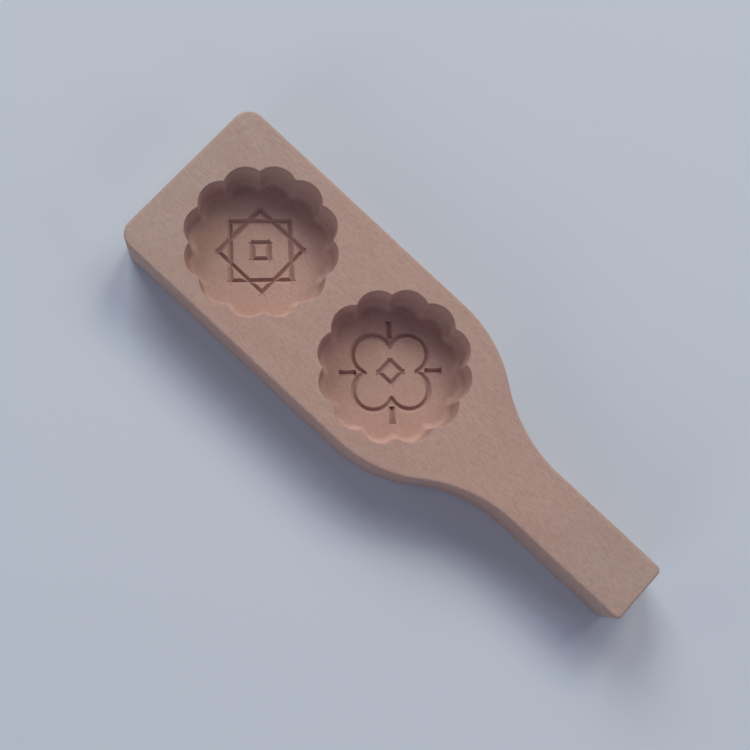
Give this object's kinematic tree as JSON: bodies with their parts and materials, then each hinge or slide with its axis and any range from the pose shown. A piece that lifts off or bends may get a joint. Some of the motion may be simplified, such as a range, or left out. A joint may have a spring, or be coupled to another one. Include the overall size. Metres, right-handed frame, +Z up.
{
  "type": "mooncake mold",
  "caption": "Wooden mooncake mold: a flat hardwood board with a broad head, scalloped cavities with a carved ornament in each floor, sloping shoulders and a straight flat handle.",
  "frame": {"origin": "centre of the board's underside, half way along its length and its width", "axes": "+X from the head end to the handle end, +Z up through the face that the cavities are carved in, +Y across the board"},
  "size_m": [0.25, 0.076, 0.027],
  "materials": {
    "wood": "matte"
  },
  "bodies": {
    "root": {"mold_board": "wood"}
  },
  "joints": []
}
